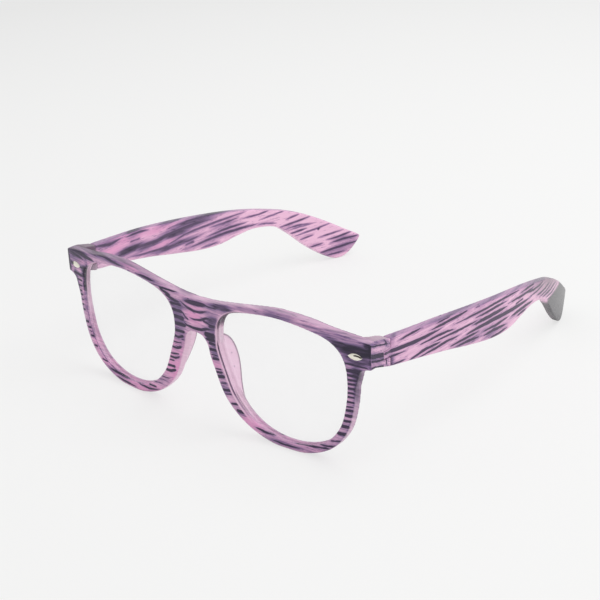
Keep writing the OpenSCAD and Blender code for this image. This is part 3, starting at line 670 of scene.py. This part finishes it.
def front_streaks(at):
    """How far inside a streak the points of the front lie."""
    streaks = streak_field(BRIDGE_STREAKS + NOSE_BARS + RIM_BARS + RIGHT_STREAKS, *at.run)
    bands = streak_field(STUB_BANDS, at.depth, at.z) - 2 * ease(at.depth, 13.1, 13.5)
    bands = np.maximum(bands, streak_field(STUB_LINES, at.depth, at.z))
    streaks = np.where(at.stub > 0.5, bands, streaks)
    streaks = streaks - 1.2 * ease(at.v, 0.7, 2.2) * (1 - at.inner) * (1 - at.stub)
    # The painted highlight band along the lens opening beside the nose carries no streaks
    gone = at.bevel + ease(at.v, 2.2, 3.4) * (1 - at.stub) + at.far_nose * (1 - at.face)
    streaks = np.where((at.inner > 0.5) & (at.nose > 0.5), NO_STREAK, streaks + NO_STREAK * gone)
    return np.where(at.pad > 0.5, streak_field(SPECKS, *at.run), streaks)


def nose_lines(at, rear_line):
    """Thin dark lines along the edge of the lens opening beside the nose."""
    near_lens = ease(at.past_lens, 0.5, 0.1)
    first = soft_line(at.v, 0.1 + 0.45 * at.ends, 0.36 - 0.1 * at.high)
    second = soft_line(at.v, 1.75, 0.24)
    return near_lens * (0.6 - 0.26 * at.ends) * first + (0.5 * second + 0.4 * rear_line) * at.ends


def wall_tone(at, patches, nose_tone, rear_line):
    """Tone of the walls round the lens openings and round the outside of the front."""
    share = 0.5 + 0.2 * at.right + 0.4 * at.left * ease(at.z, 40, 36)
    outer = mix(at.far_nose, OUTER_TONE + 0.4 * rear_line + share * patches, FAR_NOSE_TONE)
    low_line = soft_line(at.v, 0.7, 0.32) * ease(at.z, 26, 22) * ease(at.x, -24, -34)
    side = mix(0.8 * at.pale, SIDE_TONE + 0.85 * patches, PALE_TONE) + 0.34 * rear_line + 0.5 * low_line
    return mix(at.inner, outer + BEHIND_TONE * at.behind, mix(at.nose, side, nose_tone))


def face_tone(at, patches, nose_tone, rose):
    """Tone of the front's face, with a darker edge below and beside it, and a painted highlight band along
    the lens opening beside the nose.
    """
    top = ease(at.z - 44 - 0.06 * np.abs(at.x), 0, 2)
    rim = -outline_field(WHOLE_FRONT, at.x, at.z)[0]
    edge = soft_line(rim, 0, 0.45) * at.face * (1 - top) * (1 - at.far_nose)
    tone = np.maximum(FACE_TONE - 0.1 * rose, patches * (1 - 0.5 * rose)) + EDGE_TONE * edge
    at_lens = at.nose * at.left * ease(at.past_lens, 0.45, 0.15)
    return mix(at.bevel, tone, BEVEL_HIGHLIGHT_TONE) + nose_tone * at_lens


def front_tone(at, rose):
    """Tone of the front between its streaks."""
    patches = tone_field(FRONT_TONES, *at.run)
    rear_line = soft_line(at.v, FRONT_T - 0.2, 0.3)
    nose_tone = nose_lines(at, rear_line) + BRIDGE_TONE * ease(at.z, 37, 41)
    nose_tone = NOSE_TONE - 0.08 * at.high + nose_tone * at.left
    wall = wall_tone(at, patches, nose_tone, rear_line)
    tone = mix(at.face, wall, face_tone(at, patches, nose_tone, rose))
    stub_line = soft_line(at.z, 41.4 - 0.26 * (at.depth - 9), 1.1) * ease(at.depth, 13.6, 12.8)
    stub = STUB_TONE + STUB_TOP_TONE * ease(at.z, 45, 46.6) + STUB_LINE_TONE * stub_line
    crest = ease(at.v - pad_top(at.along), -1.5, -0.7) * at.pad
    return mix(0.9 * at.pad, np.where(at.stub > 0.5, stub, tone), PAD_TONE) + CREST_TONE * crest


def front_plain(at, streaks):
    """Share of plain, paler plastic on the front, and of the painted highlight band along the lens opening
    beside the nose.
    """
    off_face = 1 - at.face
    plain = np.max([
        at.pad,
        ease(at.v, FRONT_T - 0.5, FRONT_T - 0.1) * (1 - at.stub),
        at.inner * np.maximum(at.nose, at.pale * ease(at.z, 20, 26)),
        off_face * np.maximum(at.far_nose, 0.5 * (1 - at.stub) * (1 - at.inner)),
    ], axis=0)
    speck = (at.pad > 0.5) * ease(streaks, -0.2, 0)
    return np.clip(np.maximum(plain * (1 - 0.7 * speck), at.bevel), 0, 1)


def colour_front(piece, x, v, z):
    """Gives the front its streaks, its tone and its plain zones, from straightened points."""
    at = FrontZones(x, v, z)
    streaks = front_streaks(at)
    rose = tone_field(FRONT_ROSE, *at.run)
    on_bridge = ease(np.abs(x - 1), 12, 8) * ease(z, 35.5, 37.5)
    right_brow = ease(-x, 15, 30) * ease(z, 38, 44) * (1 - 0.6 * ease(-x, 52, 58))
    set_attributes(
        piece,
        grain=np.stack([at.run[0] + at.depth * at.stub, at.run[1], v * at.stub], 1),
        streaks=streaks,
        tone=front_tone(at, rose),
        plain=front_plain(at, streaks),
        grey=np.zeros(len(x)),
        rose=rose * (0.5 + 0.5 * at.face),
        blur=0.2 + 0.16 * (on_bridge + right_brow),
    )


def arm_field(across, y, z):
    """Distance field of an arm, straightened, with its middle knuckle."""
    flat_y, flat_z = np.broadcast_arrays(y[0], z[0])
    side = outline_field(arm_side(), flat_y, flat_z)[0][None]
    edge = JOINT_EDGE_R + (ARM_EDGE_R - JOINT_EDGE_R) * ease(y, ARM_Y + 1, ARM_Y + 9)
    edge = edge + (TIP_EDGE_R - ARM_EDGE_R) * ease(y, ARM_Y + 0.78 * ARM_L, ARM_Y + ARM_L)
    arm = both(side, layer(across, -ARM_T / 2, ARM_T), edge)
    x = across + arm_x((y - ARM_Y) / ARM_L)
    from_axis = np.hypot(x - HINGE_X, y - HINGE_BACK)
    neck = np.maximum(x - HINGE_X - HINGE_IN + HINGE_GAP, HINGE_X + HINGE_IN - ARM_T - x)
    neck = np.maximum(neck, np.maximum(HINGE_BACK - y, y - ARM_Y - NECK_PAST))
    tongue = np.minimum(from_axis - KNUCKLE_R, neck)
    tongue = both(tongue, layer(z, TONGUE_Z, TONGUE_H), TONGUE_EDGE_R)
    arm = cut(np.minimum(arm, tongue), from_axis - SCREW_ROOM)
    return cut(arm, z - FLOOR_CUT)


def build_arm(side):
    low = (-ARM_GRID_IN, HINGE_BACK - KNUCKLE_R - MARGIN, -MARGIN_LOW)
    high = (ARM_GRID_OUT, ARM_Y + ARM_L + MARGIN, HINGE_TOP + MARGIN_TOP)
    (across, y, z), quads = shell(arm_field(*grid(low, high, ARM_STEP)), low, ARM_STEP)
    x = across + arm_x((y - ARM_Y) / ARM_L)
    if side == "right":
        x, quads = -x, quads[:, ::-1]
    piece = new_object("arm_" + side, np.stack([x, y + SHIFT_Y, z], 1), quads)
    colour_arm(piece, side, x, across, y, z)
    return piece


def colour_arm(piece, side, x, across, y, z):
    """Streaks and tone of an arm: crisp outside, soft inside, with a grey tip and edges as the near face."""
    deep = -across if side == "left" else across + ARM_T
    far_face = ease(deep, 0.88 * ARM_T, 0.97 * ARM_T)
    outside = 1 - far_face if side == "left" else far_face
    inside = 1 - outside
    on_edge = ease(deep, 0.05, 0.4) * ease(deep, ARM_T - 0.05, ARM_T - 0.4)
    toward = deep / (EYE[0] - x) * on_edge
    run = y + toward * (EYE[1] - y), z + toward * (EYE[2] - z)
    streaks = np.where(outside > 0.5, streak_field(OUTER_STREAKS, *run), streak_field(INNER_STREAKS, *run))
    tone = mix(outside, tone_field(INNER_TONES, *run), tone_field(OUTER_TONES, *run))
    paler = 0.14 * inside * ease(y, 92, 108) + 0.08 * outside * ease(y, 70, 90)
    ridge = ease(z - np.interp(y, *RIDGE), 0, 1.5)
    tip = ease(y - GREY_Y - GREY_SLANT * (z - GREY_Z), -0.5, 1.2)
    low_neck = ease(z, 21, 18.6) * ease(y, 121, 126)
    haze = 0.74 * ease(run[0] + 0.9 * (run[1] - 30), 98, 128) * ease(run[1] - 45 + 0.16 * run[0], -6, 4)
    set_attributes(
        piece,
        grain=np.stack([*run, across * (1 - on_edge)], 1),
        streaks=streaks - 0.5 * on_edge,
        tone=ARM_TONE + tone - paler + on_edge * (ARM_EDGE_TONE + ARM_RIDGE_TONE * ridge),
        plain=0.1 * on_edge,
        grey=outside * np.max([tip, low_neck, haze], axis=0),
        rose=inside * tone_field(INNER_ROSE, *run),
        blur=0.22 + inside * (0.42 - 0.14 * ease(y, 80, 110)),
    )


def wall(upper, lower):
    """Quads between two closed loops of point numbers."""
    return list(zip(upper, lower, np.roll(lower, -1), np.roll(upper, -1)))


def stud_shape():
    """Points and faces of a domed oval leaf with a peg behind it, lying flat."""
    half_l, half_h = STUD_L / 2 - STUD_GAP, STUD_H / 2 - STUD_GAP
    arc_r = (half_l**2 + half_h**2) / (2 * half_h)
    rows, rings, peg_sides = 36, 12, 24
    u = np.cos(np.linspace(math.pi, 0, rows + 1))
    w = np.sin(np.linspace(-math.pi / 2, math.pi / 2, rings + 1))
    u, w = np.meshgrid(u[1:-1], w, indexing="ij")
    reach = np.sqrt(arc_r**2 - (half_l * u) ** 2) - (arc_r - half_h)
    dome = np.clip((1 - w**2) * (1 - u**2), 0, 1) ** STUD_DOME
    leaf = np.stack([half_l * u, reach * w, STUD_RIM + (STUD_TOP - STUD_RIM) * dome], 2).reshape(-1, 3)
    ids = np.arange(len(leaf)).reshape(u.shape)
    quads = ids[:-1, :-1], ids[1:, :-1], ids[1:, 1:], ids[:-1, 1:]
    faces = list(zip(*(corner.ravel() for corner in quads)))
    rim = np.concatenate([ids[:, 0], ids[-1, 1:], ids[-2::-1, -1], ids[0, -2:0:-1]])
    turn = np.linspace(0, 2 * math.pi, peg_sides, endpoint=False)
    peg = STUD_PEG_R * np.stack([np.cos(turn), np.sin(turn)], 1)
    points, loops = [leaf], []
    for flat, depth in ((leaf[rim, :2], STUD_DEEP), (peg, STUD_DEEP), (peg, STUD_DEEP + STUD_PEG_L)):
        loops.append(np.arange(len(flat)) + sum(map(len, points)))
        points.append(np.column_stack([flat, np.full(len(flat), -depth)]))
    under, peg_top, peg_end = loops
    faces += wall(rim, under) + [under] + wall(peg_top, peg_end) + [peg_top, peg_end[::-1]]
    return np.vstack(points), faces


def build_stud(side):
    """A stud in its pocket, turned as the face curve is there."""
    sign = 1 if side == "left" else -1
    low_corner, high_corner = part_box("stud_" + side)
    x0 = abs(low_corner.x + high_corner.x) / 2 / MM
    z0 = (low_corner.z + high_corner.z) / 2 / MM + REST_FLAT - face_y(x0) * math.sin(LEAN)
    points, faces = stud_shape()
    slope = math.asin(x0 / FACE_R)
    x = x0 + points[:, 0] * math.cos(slope) + points[:, 2] * math.sin(slope)
    depth = face_y(x0) + points[:, 0] * math.sin(slope) - points[:, 2] * math.cos(slope)
    z = z0 + points[:, 1]
    y, high = lean(x, depth - face_y(x), z)
    piece = new_object("leaf_stud_" + side, np.stack([sign * x, y + SHIFT_Y, high], 1), faces)
    work = bmesh.new()
    work.from_mesh(piece.data)
    bmesh.ops.recalc_face_normals(work, faces=work.faces)
    for edge in work.edges:
        edge.smooth = len(edge.link_faces) == 2 and edge.calc_face_angle(0.0) < math.radians(50)
    work.to_mesh(piece.data)
    work.free()
    set_attributes(piece, glint=streak_field(GLINTS, sign * x, z))
    return piece


def linear(*levels):
    """Linear colour from screen levels of 0 to 255."""
    return tuple(((c / 255 + 0.055) / 1.055) ** 2.4 for c in levels) + (1,)


class Nodes:
    """Short forms for the node tree of one material."""

    def __init__(self, name):
        self.material = bpy.data.materials.new(name)
        self.material.use_nodes = True
        self.tree = self.material.node_tree
        self.shader = self.tree.nodes["Principled BSDF"]

    def put(self, socket, value):
        if isinstance(value, bpy.types.NodeSocket):
            self.tree.links.new(value, socket)
        else:
            socket.default_value = value

    def look(self, **inputs):
        """Sets inputs of the shader, with underscores for the spaces in their names."""
        for key, value in inputs.items():
            self.put(self.shader.inputs[key.replace("_", " ")], value)

    def node(self, kind, outlet, inputs, **settings):
        made = self.tree.nodes.new("ShaderNode" + kind)
        for key, value in settings.items():
            setattr(made, key, value)
        for key, value in inputs.items():
            self.put(made.inputs[key], value)
        return made.outputs[outlet]

    def object_place(self):
        return self.node("TexCoord", "Object", {})

    def attribute(self, name, outlet="Fac"):
        return self.node("Attribute", outlet, {}, attribute_name=name)

    def math(self, how, a, b=0):
        return self.node("Math", 0, {0: a, 1: b}, operation=how)

    def plus(self, a, b):
        return self.math("ADD", a, b)

    def times(self, a, b):
        return self.math("MULTIPLY", a, b)

    def span(self, value, low, high, to_low=0, to_high=1, smooth=True):
        inputs = dict(enumerate((value, low, high, to_low, to_high)))
        kind = "SMOOTHSTEP" if smooth else "LINEAR"
        return self.node("MapRange", "Result", inputs, interpolation_type=kind)

    def noise(self, place, stretch, detail=2, shift=0):
        moved = self.node("VectorMath", 0, {0: place, 1: stretch, 2: (shift,) * 3}, operation="MULTIPLY_ADD")
        return self.node("TexNoise", "Fac", {"Vector": moved, "Scale": 1, "Detail": detail})

    def ramp(self, value, stops):
        made = self.tree.nodes.new("ShaderNodeValToRGB")
        points = made.color_ramp.elements
        while len(points) < len(stops):
            points.new(0.5)
        for point, (place, colour) in zip(points, stops):
            point.position, point.color = place, linear(*colour)
        self.put(made.inputs[0], value)
        return made.outputs[0]

    def two_tone(self, value, dark, light, spread=0.15):
        """Colour between two screen colours, as a noise value passes 0.5 by the spread."""
        return self.ramp(value, [(0.5 - spread, dark), (0.5 + spread, light)])

    def rough(self, value, low, high):
        return self.span(value, 0.3, 0.7, low, high, False)

    def blend(self, share, a, b):
        """Colour from a to b. A mix node takes them in sockets 6 and 7 and gives the mixture in 2."""
        return self.node("Mix", 2, {0: share, 6: a, 7: b}, data_type="RGBA")


# Colours of the plastic by tone, as screen levels: on the front, on the arms and where it is plain
PINK_STOPS = [
    (0, (230, 182, 213)), (0.25, (186, 145, 180)), (0.5, (130, 104, 146)), (0.75, (76, 60, 90)),
    (1, (38, 30, 52)),
]
ARM_STOPS = [
    (0, (246, 198, 226)), (0.22, (208, 160, 196)), (0.5, (148, 116, 158)), (0.75, (90, 72, 102)),
    (1, (52, 42, 66)),
]
PLAIN_STOPS = [
    (0, (248, 228, 242)), (0.1, (242, 206, 228)), (0.28, (208, 174, 196)), (0.55, (130, 104, 126)),
    (1, (60, 48, 68)),
]


def streaked_plastic(name, stops, grain_depth):
    """Pink plastic with dark grain streaks, plainer or grey where the piece's attributes say so."""
    n = Nodes(name)
    place = n.attribute("grain", "Vector")
    long_grain = n.noise(place, (0.1, 1.3, 0.25), 4)
    fine_grain = n.noise(place, (0.3, 3.4, 0.5), 2, 7.3)
    wobble = n.noise(place, (0.3, 1.9, 0.4), 2, 3.1)
    streaks = n.plus(n.attribute("streaks"), n.times(n.plus(wobble, -0.5), 0.55))
    blur = n.attribute("blur")
    mark = n.span(n.math("DIVIDE", streaks, blur), -1, 1)
    drift = n.times(n.plus(long_grain, -0.5), grain_depth)
    thin = n.span(fine_grain, 0.58, 0.74, 0, 0.42)
    halo = n.span(streaks, -1.1, 0, 0, 0.14)
    tone = n.plus(n.plus(n.attribute("tone"), drift), n.plus(thin, halo))
    deep = n.times(mark, n.math("SUBTRACT", 0.96, n.times(blur, 0.32)))
    value = n.math("MAXIMUM", tone, n.plus(deep, n.times(drift, 0.3)))
    rose_share = n.times(n.attribute("rose"), n.span(value, 0, 0.7, 0.85, 0))
    streaked = n.blend(rose_share, n.ramp(value, stops), linear(230, 152, 200))
    plain = n.ramp(n.plus(n.attribute("tone"), n.times(drift, 0.15)), PLAIN_STOPS)
    colour = n.blend(n.attribute("plain"), streaked, plain)
    grey = n.two_tone(fine_grain, (88, 86, 90), (105, 102, 106))
    n.look(
        Base_Color=n.blend(n.attribute("grey"), colour, grey), Roughness=n.rough(fine_grain, 0.26, 0.36),
        IOR=1.46, Specular_IOR_Level=0.3, Coat_Weight=0.12, Coat_Roughness=0.1,
    )
    return n.material


def clear_lens():
    """Clear plastic, pale and nearly invisible, with a faint haze."""
    n = Nodes("clear_lens")
    haze = n.noise(n.object_place(), (60, 60, 60), 1)
    colour = n.two_tone(haze, (243, 245, 247), (247, 248, 250), 0.2)
    n.look(Base_Color=colour, Alpha=n.span(haze, 0.3, 0.7, 0.05, 0.07), Roughness=0.04)
    return n.material


def polished_stud():
    """Polished silver with a warm tint, a dark reflection and fine scratches."""
    n = Nodes("polished_stud")
    scratch = n.noise(n.object_place(), (900, 5200, 5200))
    silver = n.two_tone(scratch, (232, 228, 214), (243, 240, 229))
    colour = n.blend(n.span(n.attribute("glint"), -0.16, 0.1), silver, linear(52, 44, 46))
    n.look(Base_Color=colour, Roughness=n.rough(scratch, 0.14, 0.24), Metallic=1)
    return n.material


def brushed_screw():
    """Machined steel with fine turned lines."""
    n = Nodes("brushed_screw")
    lines = n.noise(n.object_place(), (2500, 2500, 9000), 3)
    colour = n.two_tone(lines, (176, 174, 170), (206, 204, 200))
    n.look(Base_Color=colour, Roughness=n.rough(lines, 0.26, 0.42), Metallic=1)
    return n.material


def paper():
    """Pale floor that shows the camera a share of its own brightness, so that the shadows stay faint."""
    n = Nodes("paper")
    n.look(Base_Color=PAPER, Roughness=0.9)
    away = n.node("VectorMath", "Value", {0: n.object_place(), 1: GLOW_MIDDLE}, operation="DISTANCE")
    level = n.math("SUBTRACT", GLOW_TOP, n.times(n.times(away, away), GLOW_FALL))
    level = n.math("MAXIMUM", level, GLOW_LEAST)
    glow = n.node("Emission", 0, {"Color": PAPER_GLOW, "Strength": level})
    share = n.times(n.node("LightPath", "Is Camera Ray", {}), GLOW_SHARE)
    mixed = n.node("MixShader", 0, {0: share, 1: n.shader.outputs[0], 2: glow})
    n.put(n.tree.nodes["Material Output"].inputs["Surface"], mixed)
    return n.material


def build_camera():
    data = bpy.data.cameras.new("camera")
    data.lens, data.sensor_width = CAM_LENS, CAM_SENSOR
    data.clip_start, data.clip_end = 0.01, 20
    camera = add_to_scene("camera", data)
    place = Matrix.Translation((EYE + Vector((0, SHIFT_Y, 0))) * MM)
    camera.matrix_world = place @ CAM_TURN @ Matrix.Rotation(CAM_ROLL, 4, "Z")
    bpy.context.scene.camera = camera


def build_stage():
    """White surroundings, a pale floor and one soft lamp behind the object."""
    scene = bpy.context.scene
    scene.view_settings.view_transform = "Standard"
    scene.world = bpy.data.worlds.new("studio")
    scene.world.use_nodes = True
    background = scene.world.node_tree.nodes["Background"]
    background.inputs["Color"].default_value = (1, 1, 1, 1)
    background.inputs["Strength"].default_value = WORLD_LIGHT
    square = np.array([(-1, -1, 0), (1, -1, 0), (1, 1, 0), (-1, 1, 0)])
    floor = new_object("floor", FLOOR_HALF * square, [(0, 1, 2, 3)])
    floor.data.materials.append(paper())
    lamp = bpy.data.lights.new("softbox", "AREA")
    lamp.size, lamp.energy = LAMP_SIZE, LAMP_POWER
    softbox = add_to_scene("softbox", lamp)
    softbox.location = LAMP_PLACE
    softbox.rotation_euler = Vector(LAMP_PLACE).to_track_quat("Z", "Y").to_euler()


front = build_front()
front.data.materials.append(streaked_plastic("streaked_front", PINK_STOPS, 0.9))
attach(front, "front")
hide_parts("front_frame")
arm_plastic = streaked_plastic("streaked_arms", ARM_STOPS, 0.55)
for side in ("left", "right"):
    arm = build_arm(side)
    arm.data.materials.append(arm_plastic)
    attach(arm, "arm_" + side)
    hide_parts("temple_" + side)
stud_metal = polished_stud()
for side in ("left", "right"):
    stud = build_stud(side)
    stud.data.materials.append(stud_metal)
    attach(stud, "front")
    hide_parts("stud_" + side)
for name, material in (("lens_", clear_lens()), ("hinge_screw_", brushed_screw())):
    for side in ("left", "right"):
        kept = bpy.data.objects[name + side]
        kept.data.materials.clear()
        kept.data.materials.append(material)

build_camera()
build_stage()
